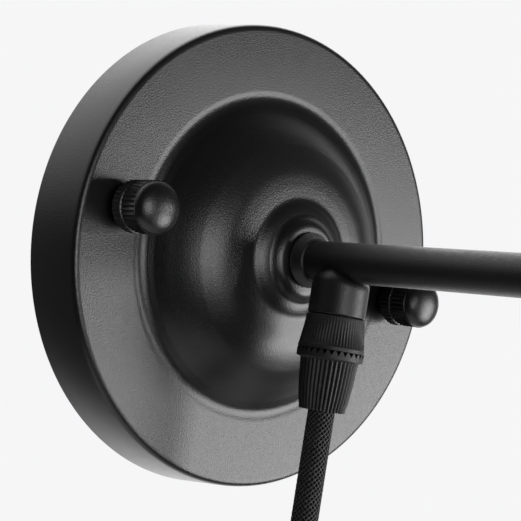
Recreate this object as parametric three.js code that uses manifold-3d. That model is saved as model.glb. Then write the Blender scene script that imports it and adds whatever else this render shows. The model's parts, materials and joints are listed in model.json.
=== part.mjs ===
// Swing arm wall sconce: a round domed canopy, a straight wall arm with a cord inlet under it,
// a hollow swing elbow, an outer arm, a tilting head with a metal shade, and a mains cord.
//
// Millimetres. The wall is the plane Y = 0, the lamp reaches out along -Y, and +Z is up.
// The origin is the centre of the wall bracket's back, on the wall, on the arm's axis.
import * as THREE from "three";
import { mergeVertices } from "three/addons/utils/BufferGeometryUtils.js";
import Module from "manifold-3d";

const wasm = await Module();
wasm.setup();

// ---------- Driving dimensions ----------
const GAP = 0.3; // clearance between pieces that touch
const BROAD = 32; // sides of the large round pieces
const ROUND = 20; // of the tubes and housings
const SMALL = 12; // of the fasteners and bores
const OVERSHOOT = 1; // how far a cutting tool runs past what it cuts
const SCREW_LINE_TILT = THREE.MathUtils.degToRad(5.5); // bracket and thumb nuts, right end down

const CANOPY_RADIUS = 60;
const CANOPY_FRONT_RADIUS = 58.8; // the side wall tapers a little towards the front
const CANOPY_DEPTH = 16.9; // wall to the flat ring
const CANOPY_SHEET = 1.2;
const CANOPY_EDGE_ROUND = 1.5;
const DOME_RADIUS = 41.8; // where the dome rises from the flat ring
const BOSS_SEAT_RADIUS = 9.2;
const BOSS_Y = -33.1; // the boss's flat seat

const STUD_CIRCLE = 46.2; // thumb nut axes from the canopy's axis
const STUD_RADIUS = 2;
const STUD_HOLE = STUD_RADIUS + GAP;
const NUT_RIM_Y = -29.1; // thumb nut: knurled barrel meets the smooth dome
const NUT_RADIUS = 6.4;

const ARM_RADIUS = 4.9; // arm tubes, outside
const ARM_BORE = 4.25;
const LEAD_RADIUS = 1.4; // inner sheath of the two-core lead inside the tubes
const INLET_Y = -45.8; // cord inlet, grip and cord hang on this line
const INLET_RADIUS = 7;
const INLET_TOP = -2.6;
const INLET_BOTTOM = -13.1;
const CORD_RADIUS = 3.3;
const GRIP_BOTTOM = -36.1;

const KNUCKLE_RADIUS = 9;
const ARM_STEP = 18.5; // from one arm's axis to the next, along a knuckle's pivot
const ARM_SEAT = 9.8; // from a knuckle's pivot to the end of the tube in its socket
const ELBOW_Y = -155;
const TILT_Y = -340;

const SHADE_RADIUS = 65;
const SHADE_BOTTOM = 128; // below the tilt pivot

const SWITCH_TOP = -80;
const SWITCH_LENGTH = 62;
const COIL_RADIUS = 37; // middle of the coil's turns
const COIL_OUTER = COIL_RADIUS + 3 * CORD_RADIUS; // centre line of the outermost turn
const COIL_INNER = COIL_RADIUS - 3 * CORD_RADIUS;
const COIL_CENTRE_Z = -204;
const PLUG_TOP = -272;

// ---------- Materials ----------
const finish = (color, roughness, metalness) =>
  new THREE.MeshStandardMaterial({ color, roughness, metalness });
const blackPowderCoat = () => finish(0x1c1c1d, 0.5, 0.2);
const blackPlastic = () => finish(0x151516, 0.65, 0);
const blackFabric = () => finish(0x111112, 0.95, 0);
const zincSteel = () => finish(0x9a9c9e, 0.4, 0.9);
const brass = () => finish(0xb08d4a, 0.35, 0.9);
const fibre = () => finish(0x3a2a22, 0.85, 0);
const whiteCeramic = () => finish(0xe8e5dd, 0.35, 0);
const leadSheath = () => finish(0xd8d8d4, 0.6, 0);

// ---------- Geometry helpers ----------
// A geometry's closed mesh as a manifold-3d solid, with its faces pointing out.
function solid(geometry) {
  const bare = geometry.index ? geometry.toNonIndexed() : geometry.clone();
  bare.deleteAttribute("normal");
  bare.deleteAttribute("uv");
  const merged = mergeVertices(bare, 1e-3);
  const vertProperties = merged.attributes.position.array;
  const triVerts = new Uint32Array(merged.index.array);
  return new wasm.Manifold(new wasm.Mesh({ numProp: 3, vertProperties, triVerts }));
}

function geometryOf(manifold) {
  const mesh = manifold.getMesh();
  const geometry = new THREE.BufferGeometry();
  geometry.setAttribute("position", new THREE.BufferAttribute(mesh.vertProperties, 3));
  geometry.setIndex(new THREE.BufferAttribute(mesh.triVerts, 1));
  return geometry;
}

const cut = (body, ...tools) =>
  geometryOf(tools.reduce((left, tool) => left.subtract(solid(tool)), solid(body)));
const join = (...bodies) =>
  geometryOf(bodies.slice(1).reduce((sum, body) => sum.add(solid(body)), solid(bodies[0])));

// A solid of revolution about the Y axis. Its outline is a list of [radius, y] that runs so that
// the material is on its left, and it closes on itself or starts and ends on the axis.
function turned(outline, sides) {
  return new THREE.LatheGeometry(outline.map(([r, y]) => new THREE.Vector2(r, y)), sides);
}

// Turns a piece made about the Y axis to stand on the Z axis, with y as z.
const upright = (geometry) => geometry.rotateX(Math.PI / 2);

// A round bar and a round tube about the Y axis, from y = low to y = high.
const bar = (radius, low, high, sides) =>
  turned([[0, low], [radius, low], [radius, high], [0, high]], sides);
const tube = (bore, radius, low, high, sides) =>
  turned([[bore, low], [radius, low], [radius, high], [bore, high], [bore, low]], sides);

const box = (x, y, z) => new THREE.BoxGeometry(x, y, z);

// Points of an arc in the plane of an outline, with the angles in degrees.
function arc(centreR, centreY, radius, from, to, steps) {
  return Array.from({ length: steps + 1 }, (_, i) => {
    const angle = THREE.MathUtils.degToRad(from + ((to - from) * i) / steps);
    return [centreR + radius * Math.cos(angle), centreY + radius * Math.sin(angle)];
  });
}

// A hexagon nut with a round bore about the Y axis.
function hexNut(acrossFlats, bore, low, high) {
  const shape = new THREE.Shape();
  const corner = acrossFlats / Math.sqrt(3);
  for (let i = 0; i < 6; i++) {
    const angle = (i * Math.PI) / 3;
    shape[i ? "lineTo" : "moveTo"](corner * Math.cos(angle), corner * Math.sin(angle));
  }
  shape.closePath();
  shape.holes.push(new THREE.Path().absarc(0, 0, bore, 0, 2 * Math.PI, true));
  const nut = new THREE.ExtrudeGeometry(shape, {
    depth: high - low, bevelEnabled: false, curveSegments: 8,
  });
  return nut.rotateX(-Math.PI / 2).translate(0, low, 0);
}

// A round lead or cord along a list of points.
function strand(points, radius, steps, sides) {
  const section = new THREE.Shape();
  for (let i = 0; i < sides; i++) {
    const angle = (2 * Math.PI * i) / sides;
    section[i ? "lineTo" : "moveTo"](radius * Math.cos(angle), radius * Math.sin(angle));
  }
  section.closePath();
  const path = new THREE.CatmullRomCurve3(points.map((p) => new THREE.Vector3(...p)));
  return new THREE.ExtrudeGeometry(section, { steps, bevelEnabled: false, extrudePath: path });
}

const sconce = new THREE.Group();

function addPart(name, geometry, material, group = sconce) {
  const mesh = new THREE.Mesh(geometry, material);
  mesh.name = name;
  group.add(mesh);
  return mesh;
}

// ---------- Canopy ----------
// The outside from the side wall's rounded edge to the bore: flat ring, dome, stepped boss.
function canopyFace() {
  const dome = new THREE.SplineCurve([
    new THREE.Vector2(38.2, -18.8),
    new THREE.Vector2(34, -23.1),
    new THREE.Vector2(26, -27.7),
    new THREE.Vector2(14.3, -29.4),
  ]);
  return [
    ...arc(CANOPY_FRONT_RADIUS - CANOPY_EDGE_ROUND, CANOPY_EDGE_ROUND - CANOPY_DEPTH,
      CANOPY_EDGE_ROUND, 0, -90, 2),
    [DOME_RADIUS, -CANOPY_DEPTH],
    [39.8, -17.4],
    ...dome.getPoints(4).map((p) => [p.x, p.y]),
    [12.4, -30.8],
    [10.8, -31.3],
    [BOSS_SEAT_RADIUS, BOSS_Y],
    [ARM_RADIUS, BOSS_Y],
  ];
}

function canopy() {
  const face = canopyFace();
  const wallRound = 2;
  const lining = face.slice(wallRound).map(([r, y]) => [r, y + CANOPY_SHEET]);
  const shell = turned([
    [CANOPY_RADIUS, 0],
    [CANOPY_RADIUS - CANOPY_SHEET, 0],
    [CANOPY_FRONT_RADIUS - CANOPY_SHEET, CANOPY_EDGE_ROUND - CANOPY_DEPTH],
    ...lining,
    ...face.reverse(),
    [CANOPY_RADIUS, 0],
  ], BROAD);
  const holeDepth = 2 * CANOPY_SHEET;
  const studHole = (side) => bar(STUD_HOLE, -holeDepth, holeDepth, SMALL)
    .translate(side * STUD_CIRCLE, -CANOPY_DEPTH, 0)
    .rotateY(SCREW_LINE_TILT);
  return cut(shell, studHole(-1), studHole(1));
}
addPart("canopy", canopy(), blackPowderCoat());

// ---------- Wall bracket, its screws and the thumb nuts ----------
const BRACKET_SHEET = 2;
const BRACKET_RISE = 4; // the ends stand off the wall, to clear the screw heads
const BRACKET_WIDTH = 18;
const WALL_SCREW_SPACING = 50;
const screwLine = new THREE.Group();
screwLine.rotation.y = SCREW_LINE_TILT;
sconce.add(screwLine);

function wallBracket() {
  const flat = 35;
  const bend = 40;
  const end = 54;
  const back = [[-end, -BRACKET_RISE], [-bend, -BRACKET_RISE], [-flat, 0],
    [flat, 0], [bend, -BRACKET_RISE], [end, -BRACKET_RISE]];
  const front = back.map(([x, y]) => [x, y - BRACKET_SHEET]).reverse();
  const shape = new THREE.Shape([...back, ...front].map(([x, y]) => new THREE.Vector2(x, y)));
  const strap = new THREE.ExtrudeGeometry(shape, { depth: BRACKET_WIDTH, bevelEnabled: false });
  strap.translate(0, 0, -BRACKET_WIDTH / 2);
  const holes = [
    [-STUD_CIRCLE, STUD_HOLE], [STUD_CIRCLE, STUD_HOLE],
    [-WALL_SCREW_SPACING / 2, 2.4], [WALL_SCREW_SPACING / 2, 2.4],
  ];
  return cut(strap, ...holes.map(([x, radius]) => bar(radius, -8, 2, SMALL).translate(x, 0, 0)));
}
addPart("wall_bracket", wallBracket(), zincSteel(), screwLine);

function studScrew() {
  const headBack = -1.3;
  const headFront = -BRACKET_RISE + GAP;
  const tip = NUT_RIM_Y + 0.8;
  return turned([[0, tip], [STUD_RADIUS, tip], [STUD_RADIUS, headFront], [3.6, headFront],
    [3.6, headBack - 0.6], [2.6, headBack], [0, headBack]], SMALL);
}

function thumbNut() {
  const back = -CANOPY_DEPTH - GAP;
  const neck = 4.6;
  return turned([
    [0, NUT_RIM_Y - 3.3],
    [2.6, NUT_RIM_Y - 3.0],
    [4.6, NUT_RIM_Y - 2.2],
    [5.9, NUT_RIM_Y - 1.1],
    [NUT_RADIUS, NUT_RIM_Y],
    [NUT_RADIUS, back - 2.2],
    [neck, back - 1.6],
    [neck, back],
    [STUD_HOLE, back],
    [STUD_HOLE, NUT_RIM_Y + 0.4],
    [0, NUT_RIM_Y + 0.4],
  ], ROUND);
}

for (const [side, x] of [["left", -STUD_CIRCLE], ["right", STUD_CIRCLE]]) {
  const bracketFront = -BRACKET_RISE - BRACKET_SHEET - GAP;
  const nut = hexNut(7, STUD_HOLE, bracketFront - 3.2, bracketFront);
  addPart("stud_screw_" + side, studScrew(), zincSteel(), screwLine).position.x = x;
  addPart("stud_nut_" + side, nut, zincSteel(), screwLine).position.x = x;
  addPart("thumb_nut_" + side, thumbNut(), blackPowderCoat(), screwLine).position.x = x;
}

// ---------- Arm fixing: threaded nipple, lock nut and washer inside, collar outside ----------
const NIPPLE_RADIUS = ARM_BORE - GAP;
const bossBack = BOSS_Y + CANOPY_SHEET + GAP;
addPart("arm_nipple", tube(2.9, NIPPLE_RADIUS, BOSS_Y - 6, BOSS_Y + 9, SMALL), zincSteel());
addPart("lock_washer", tube(ARM_BORE, 7.5, bossBack, bossBack + 1, SMALL), zincSteel());
addPart("lock_nut", hexNut(13, ARM_BORE, bossBack + 1 + GAP, bossBack + 5 + GAP), brass());

const collarBack = BOSS_Y - GAP;
const armStart = collarBack - 1.6;
const collar = turned([
  [ARM_BORE, collarBack],
  [ARM_BORE, armStart + GAP],
  [ARM_RADIUS + GAP, armStart + GAP],
  [ARM_RADIUS + GAP, collarBack - 3],
  [5.6, collarBack - 3],
  [6.9, collarBack - 0.6],
  [6.9, collarBack],
  [ARM_BORE, collarBack],
], ROUND);
addPart("root_collar", collar, blackPowderCoat());

// ---------- Wall arm and the cord inlet brazed under it ----------
const inletWindow = upright(bar(3.6, -8, 0, SMALL)).translate(0, INLET_Y, 0);
const wallArm = tube(ARM_BORE, ARM_RADIUS, ELBOW_Y + ARM_SEAT, armStart, ROUND);
addPart("wall_arm_tube", cut(wallArm, inletWindow), blackPowderCoat());

const inletTube = upright(tube(5.2, INLET_RADIUS, INLET_BOTTOM, INLET_TOP, ROUND));
inletTube.translate(0, INLET_Y, 0);
const armClearance = bar(ARM_RADIUS + GAP, INLET_Y - 12, INLET_Y + 12, ROUND);
addPart("cord_inlet", cut(inletTube, armClearance), blackPowderCoat());

// ---------- Cord grip: ribbed cup screwed into the inlet, rubber bush, ribbed sleeve ----------
const GRIP_BORE = CORD_RADIUS + GAP;
const cupTop = INLET_BOTTOM - GAP;
const cupBottom = -21.3;
const bushSeat = -15.5;
const sleeveTop = -18.1;
const onCordLine = (geometry) => upright(geometry).translate(0, INLET_Y, 0);
const gripCup = turned([
  [GRIP_BORE, -7], [GRIP_BORE, bushSeat], [5.4, bushSeat], [5.4, cupBottom], [8.1, cupBottom],
  [8.1, cupBottom + 0.7], [7.05, cupTop], [4.9, cupTop], [4.9, -7], [GRIP_BORE, -7],
], ROUND);
addPart("grip_cup", onCordLine(gripCup), blackPlastic());
const bush = tube(GRIP_BORE, 5.1, sleeveTop + GAP, bushSeat - GAP, SMALL);
addPart("grip_bush", onCordLine(bush), fibre());
const gripSleeve = turned([
  [GRIP_BORE, GRIP_BOTTOM], [5.6, GRIP_BOTTOM], [7, -23.9], [8.1, -23.6],
  [8.1, cupBottom - GAP], [5.1, cupBottom - GAP], [5.1, sleeveTop], [GRIP_BORE, sleeveTop],
  [GRIP_BORE, GRIP_BOTTOM],
], ROUND);
addPart("grip_sleeve", onCordLine(gripSleeve), blackPlastic());

// ---------- Hollow swivel knuckle ----------
// The pivot stands on the local Z axis. The fixed half takes a tube that comes in along +Y at
// z = 0. The turning half takes a tube at z = ARM_STEP that leaves along -Y, before its turn.
const FIXED_TOP = 7;
const TURNING_BOTTOM = FIXED_TOP + 1 + 2 * GAP;
const TURNING_TOP = 26.4;
const CHAMBER_FLOOR = 11.2;
const CHAMBER_RADIUS = 6.8;
const PIVOT_RADIUS = 4;
const PIVOT_TOP = 14.9;
const SOCKET_RADIUS = 6.4;
const SOCKET_REACH = 16;

function knuckle(name, fixedGroup, turningGroup, turn) {
  const armBore = () => bar(ARM_RADIUS + GAP, ARM_SEAT - GAP, SOCKET_REACH + OVERSHOOT, ROUND);
  const leadBore = () => bar(2.6, 0, ARM_SEAT, SMALL);
  const fixedHalf = cut(
    join(
      upright(turned([[0, -7.5], [7.4, -7.5], [KNUCKLE_RADIUS, -5.9], [KNUCKLE_RADIUS, FIXED_TOP],
        [0, FIXED_TOP]], ROUND)),
      bar(SOCKET_RADIUS, 0, SOCKET_REACH, ROUND),
    ),
    upright(bar(PIVOT_RADIUS + GAP, -5.3, FIXED_TOP + OVERSHOOT, SMALL)),
    armBore(),
    leadBore(),
  );
  addPart(name + "_fixed_half", fixedHalf, blackPowderCoat(), fixedGroup);

  const washerSeat = FIXED_TOP + GAP;
  const washer = upright(tube(PIVOT_RADIUS + GAP, 8.6, washerSeat, washerSeat + 1, ROUND));
  addPart(name + "_friction_washer", washer, fibre(), fixedGroup);

  const pivot = cut(
    upright(tube(2.5, PIVOT_RADIUS, -5, PIVOT_TOP, SMALL)),
    bar(2.4, 1, 6, SMALL),
    bar(2.4, 1, 6, SMALL).translate(0, 0, 2.6),
  );
  addPart(name + "_pivot_tube", pivot, zincSteel(), fixedGroup);

  const turningHalf = cut(
    join(
      upright(bar(KNUCKLE_RADIUS, TURNING_BOTTOM, TURNING_TOP, ROUND)),
      bar(SOCKET_RADIUS, -SOCKET_REACH, 0, ROUND).translate(0, 0, ARM_STEP),
    ),
    upright(bar(CHAMBER_RADIUS, CHAMBER_FLOOR, TURNING_TOP + OVERSHOOT, ROUND)),
    upright(bar(PIVOT_RADIUS + GAP, 0, CHAMBER_FLOOR + OVERSHOOT, SMALL)),
    armBore().rotateZ(Math.PI).translate(0, 0, ARM_STEP),
    leadBore().rotateZ(Math.PI).translate(0, 0, ARM_STEP),
  ).rotateZ(turn);
  addPart(name + "_turning_half", turningHalf, blackPowderCoat(), turningGroup);

  const washerTop = CHAMBER_FLOOR + GAP + 0.7;
  const wave = upright(tube(PIVOT_RADIUS + GAP, 6.2, CHAMBER_FLOOR + GAP, washerTop, SMALL));
  addPart(name + "_spring_washer", wave, zincSteel(), fixedGroup);
  const nut = upright(hexNut(11, PIVOT_RADIUS + GAP, washerTop + GAP, PIVOT_TOP - GAP));
  addPart(name + "_pivot_nut", nut, zincSteel(), fixedGroup);

  const capSeat = TURNING_TOP + GAP;
  const cap = upright(turned([
    [0, 25.2], [6.4, 25.2], [6.4, capSeat], [KNUCKLE_RADIUS, capSeat],
    [KNUCKLE_RADIUS, capSeat + 1], [7, capSeat + 2.3], [0, capSeat + 2.9],
  ], ROUND));
  addPart(name + "_cap", cap, blackPowderCoat(), turningGroup);
}

const elbow = new THREE.Group();
elbow.position.set(0, ELBOW_Y, 0);
sconce.add(elbow);
knuckle("elbow", elbow, elbow, 0);

const outerArm = tube(ARM_BORE, ARM_RADIUS, TILT_Y + ARM_SEAT, ELBOW_Y - ARM_SEAT, ROUND);
addPart("outer_arm_tube", outerArm.translate(0, 0, ARM_STEP), blackPowderCoat());

// The tilt knuckle lies on its side: its pivot runs along +X and its turning half points down.
const tilt = new THREE.Group();
tilt.position.set(0, TILT_Y, ARM_STEP);
tilt.rotation.y = Math.PI / 2;
sconce.add(tilt);
knuckle("tilt", tilt, tilt, Math.PI / 2);

// ---------- Head: neck tube, lampholder and shade, hanging from the tilt knuckle ----------
// The outlines below are [radius, z] under the tilt pivot, which is at z = 0.
const head = new THREE.Group();
head.position.set(ARM_STEP, TILT_Y, ARM_STEP);
sconce.add(head);
const addHeadPart = (name, geometry, material) => addPart(name, upright(geometry), material, head);

addHeadPart("neck_tube", tube(ARM_BORE, ARM_RADIUS, -27, -ARM_SEAT, ROUND), blackPowderCoat());
const HOLDER_CAP_BORE = ARM_RADIUS + GAP;
addHeadPart("lampholder_cap", turned([
  [HOLDER_CAP_BORE, -29], [18.6, -37], [20, -39], [20, -60], [21.2, -60],
  [21.2, -38.6], [19.4, -35.8], [7.8, -27], [7.8, -21], [HOLDER_CAP_BORE, -21],
  [HOLDER_CAP_BORE, -29],
], ROUND), blackPowderCoat());

const CAVITY_RADIUS = 14.2;
addHeadPart("lampholder_body", turned([
  [0, -46], [CAVITY_RADIUS, -46], [CAVITY_RADIUS, -75], [16.8, -75], [16.8, -59.5],
  [19.6, -59.5], [19.6, -40.5], [17, -39.5], [0, -39.5],
], ROUND), whiteCeramic());
addHeadPart("lampholder_screw_shell", tube(13.2, 13.9, -73, -49, ROUND), brass());
addHeadPart("centre_contact", turned([
  [0, -49.4], [1.6, -49.2], [3.2, -47.6], [3.2, -46 - GAP], [0, -46 - GAP],
], SMALL), brass());

const shadeLine = new THREE.SplineCurve([
  new THREE.Vector2(21.6, -61.4),
  new THREE.Vector2(34, -68),
  new THREE.Vector2(50, -86),
  new THREE.Vector2(SHADE_RADIUS - 4, -110),
  new THREE.Vector2(SHADE_RADIUS, -SHADE_BOTTOM),
]);
const SHADE_SHEET = 1.2;
const shadeOutside = shadeLine.getPoints(5).map((p) => [p.x, p.y]);
const shadeInside = shadeOutside.slice(1)
  .map(([r, z]) => [r - SHADE_SHEET, Math.max(z - 0.4, -SHADE_BOTTOM)]);
const shadeHole = 17.1;
addHeadPart("shade", turned([
  [shadeHole, -60.3], [shadeHole, -61.5], [20.2, -61.5],
  ...shadeInside,
  ...shadeOutside.reverse(),
  [20.8, -60.3], [shadeHole, -60.3],
], BROAD), blackPowderCoat());
addHeadPart("shade_ring", tube(shadeHole, 19.8, -68, -61.8 - GAP, ROUND), blackPlastic());

// ---------- Leads inside the tubes ----------
// Each lead meets the next inside a hollow pivot, where the real one twists.
const LEAD_JOINT = 12.6;
const LEAD_BEND = 4;
const wallLead = strand([
  [0, INLET_Y, INLET_BOTTOM + 0.2], [0, INLET_Y, -7], [0, INLET_Y - 1.5, -2.5], [0, INLET_Y - 6, 0],
  [0, INLET_Y - 12, 0], [0, ELBOW_Y + 8, 0], [0, ELBOW_Y + 3.6, 0.2], [0, ELBOW_Y + 0.6, 2.4],
  [0, ELBOW_Y, 5.5], [0, ELBOW_Y, LEAD_JOINT - 0.4],
], LEAD_RADIUS, 28, 6);
addPart("wall_arm_lead", wallLead, leadSheath());
addPart("cord_in_grip", onCordLine(bar(CORD_RADIUS, GRIP_BOTTOM, INLET_BOTTOM - GAP, SMALL)),
  blackFabric());

const outerLead = strand([
  [0, ELBOW_Y, LEAD_JOINT], [0, ELBOW_Y, ARM_STEP - LEAD_BEND],
  [0, ELBOW_Y - 1.2, ARM_STEP - 1.2], [0, ELBOW_Y - LEAD_BEND, ARM_STEP],
  [0, ELBOW_Y - 12, ARM_STEP], [0, TILT_Y + 8, ARM_STEP],
  [0.2, TILT_Y + 3.6, ARM_STEP], [2.4, TILT_Y + 0.6, ARM_STEP],
  [5.5, TILT_Y, ARM_STEP], [LEAD_JOINT - 0.4, TILT_Y, ARM_STEP],
], LEAD_RADIUS, 28, 6);
addPart("outer_arm_lead", outerLead, leadSheath());

const headLead = strand([
  [LEAD_JOINT, TILT_Y, ARM_STEP], [ARM_STEP - LEAD_BEND, TILT_Y, ARM_STEP],
  [ARM_STEP - 1.2, TILT_Y, ARM_STEP - 1.2], [ARM_STEP, TILT_Y, ARM_STEP - LEAD_BEND],
  [ARM_STEP, TILT_Y, ARM_STEP - 12], [ARM_STEP, TILT_Y, ARM_STEP - 39.2],
], LEAD_RADIUS, 14, 6);
addPart("head_lead", headLead, leadSheath());

// ---------- Mains cord ----------
// It hangs straight from the grip through the inline switch, winds into a coil with its two ends
// on the side under the grip, and hangs on to the plug.
const COIL_X = COIL_OUTER;
const COIL_BACK_Y = INLET_Y + 3 * CORD_RADIUS;
const COIL_FRONT_Y = INLET_Y - CORD_RADIUS;
const COIL_MEET = 16; // above and below its centre, where the straight cord meets the coil
const TAIL_Y = INLET_Y + 2 * CORD_RADIUS;

const coilRing = (grow) =>
  tube(COIL_INNER - CORD_RADIUS - grow, COIL_OUTER + CORD_RADIUS + grow,
    COIL_FRONT_Y - grow, COIL_BACK_Y + grow, BROAD).translate(COIL_X, 0, COIL_CENTRE_Z);
const straightCord = (y, low, high) =>
  upright(bar(CORD_RADIUS, low, high, 10)).translate(0, y, 0);

addPart("cord_upper", straightCord(INLET_Y, SWITCH_TOP + GAP, GRIP_BOTTOM - GAP), blackFabric());
const cordLower = straightCord(
  INLET_Y, COIL_CENTRE_Z + COIL_MEET, SWITCH_TOP - SWITCH_LENGTH - GAP,
);
addPart("cord_lower", cut(cordLower, coilRing(GAP)), blackFabric());
addPart("cord_coil", coilRing(0), blackFabric());
const cordTail = straightCord(TAIL_Y, PLUG_TOP + GAP, COIL_CENTRE_Z - COIL_MEET);
addPart("cord_tail", cut(cordTail, coilRing(GAP)), blackFabric());

const TIE_SHEET = 1.6;
const tieBand = box(10, 4 * CORD_RADIUS + 2 * (GAP + TIE_SHEET), 26.4 + 2 * (GAP + TIE_SHEET));
tieBand.translate(COIL_X, INLET_Y + CORD_RADIUS, COIL_CENTRE_Z + COIL_RADIUS);
addPart("cord_tie", cut(tieBand, coilRing(GAP)), blackFabric());

// ---------- Inline rocker switch ----------
const SWITCH_WIDTH = 24;
const SWITCH_HALF_DEPTH = 9;
const SWITCH_WALL = 1.8;
const SWITCH_MIDDLE = SWITCH_TOP - SWITCH_LENGTH / 2;
const switchGroup = new THREE.Group();
switchGroup.position.set(0, INLET_Y, SWITCH_MIDDLE);
sconce.add(switchGroup);

// One shell of the housing, open at the parting plane y = 0 and bulging towards -Y.
function switchShell() {
  const outline = new THREE.Shape();
  const halfWidth = SWITCH_WIDTH / 2;
  const corner = 8;
  const halfLength = SWITCH_LENGTH / 2;
  outline.moveTo(corner - halfWidth, -halfLength);
  outline.lineTo(halfWidth - corner, -halfLength);
  outline.absarc(halfWidth - corner, corner - halfLength, corner, -Math.PI / 2, 0, false);
  outline.absarc(halfWidth - corner, halfLength - corner, corner, 0, Math.PI / 2, false);
  outline.absarc(corner - halfWidth, halfLength - corner, corner, Math.PI / 2, Math.PI, false);
  outline.absarc(corner - halfWidth, corner - halfLength, corner, Math.PI, 1.5 * Math.PI, false);
  const block = new THREE.ExtrudeGeometry(outline, {
    depth: SWITCH_HALF_DEPTH - 2 - GAP / 2, bevelThickness: 2, bevelSize: 2, bevelOffset: -2,
    bevelSegments: 2, curveSegments: 4,
  });
  block.rotateX(Math.PI / 2).translate(0, -GAP / 2, 0);
  const floor = SWITCH_HALF_DEPTH - SWITCH_WALL;
  const cavity = box(SWITCH_WIDTH - 2 * SWITCH_WALL, 2 * floor, SWITCH_LENGTH - 22);
  const cordWay = upright(bar(CORD_RADIUS + GAP, -halfLength - 5, halfLength + 5, SMALL));
  const behind = box(SWITCH_WIDTH * 2, SWITCH_WIDTH, SWITCH_LENGTH * 2)
    .translate(0, SWITCH_WIDTH / 2 - GAP / 2, 0);
  return cut(block, cavity, cordWay, behind);
}
const ROCKER_LENGTH = 15;
const ROCKER_WIDTH = 9;
const rockerWindow = box(ROCKER_WIDTH + 2 * GAP, 12, ROCKER_LENGTH + 2 * GAP)
  .translate(0, -SWITCH_HALF_DEPTH, 0);
const SCREW_PLACE = [-SWITCH_WIDTH / 2 + 4.6, SWITCH_LENGTH / 2 - 15];
const screwHole = (sign) =>
  bar(1.6 + GAP, -SWITCH_HALF_DEPTH - 2, 0, SMALL)
    .translate(sign * SCREW_PLACE[0], 0, sign * SCREW_PLACE[1]);
addPart("switch_front_shell", cut(switchShell(), rockerWindow), blackPlastic(), switchGroup);
const backShell = cut(switchShell(), screwHole(1), screwHole(-1)).rotateZ(Math.PI);
addPart("switch_back_shell", backShell, blackPlastic(), switchGroup);
for (const [name, sign] of [["upper", 1], ["lower", -1]]) {
  const screw = turned([[0, -1], [1.5, -1], [1.5, 8.6], [0, 8.6]], SMALL);
  screw.translate(-sign * SCREW_PLACE[0], 0, sign * SCREW_PLACE[1]);
  addPart("switch_screw_" + name, screw, zincSteel(), switchGroup);
}

// The rocker's two faces meet at its middle, so one end stands proud and the other is flush.
const ROCKER_THROW = THREE.MathUtils.degToRad(8);
const rockerShape = new THREE.Shape([
  [-ROCKER_LENGTH / 2, 4], [ROCKER_LENGTH / 2, 4], [ROCKER_LENGTH / 2, -2.6],
  [0, -1.6], [-ROCKER_LENGTH / 2, -2.6],
].map(([z, y]) => new THREE.Vector2(z, y)));
const rocker = new THREE.ExtrudeGeometry(rockerShape, { depth: ROCKER_WIDTH, bevelEnabled: false });
rocker.translate(0, 0, -ROCKER_WIDTH / 2).rotateY(-Math.PI / 2).rotateX(ROCKER_THROW);
rocker.translate(0, -SWITCH_HALF_DEPTH + 1, 0);
addPart("switch_rocker", rocker, blackPlastic(), switchGroup);

// ---------- Plug ----------
const plug = new THREE.Group();
plug.position.set(0, TAIL_Y, PLUG_TOP);
sconce.add(plug);
const plugBody = upright(turned([
  [0, -36], [11, -36], [12.4, -34.5], [12.4, -22], [9, -12], [5.4, -8], [4.8, 0], [0, 0],
], ROUND)).scale(1, 0.72, 1);
const BLADE = [1.5, 6.3, 22];
const BLADE_SPACING = 12.7;
const bladeSlot = (sign) =>
  box(BLADE[0] + 2 * GAP, BLADE[1] + 2 * GAP, 10)
    .translate((sign * BLADE_SPACING) / 2, 0, -36);
addPart("plug_body", cut(plugBody, bladeSlot(1), bladeSlot(-1)), blackPlastic(), plug);
for (const [side, sign] of [["left", -1], ["right", 1]]) {
  const blade = box(...BLADE).translate((sign * BLADE_SPACING) / 2, 0, -36 + 4.6 - BLADE[2] / 2);
  addPart("plug_blade_" + side, blade, brass(), plug);
}

export default sconce;
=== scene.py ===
# The finished look of the swing arm wall sconce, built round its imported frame.
#
# Lengths are written in millimetres and scaled by MM. The wall is the plane Y = 0, the lamp
# reaches out along -Y, and +Z is up. Outlines are lists of (radius, height) along a piece's own
# axis, and a third number rounds that corner.
import json
import math

import bmesh
import bpy
from mathutils import Matrix, Vector

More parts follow.
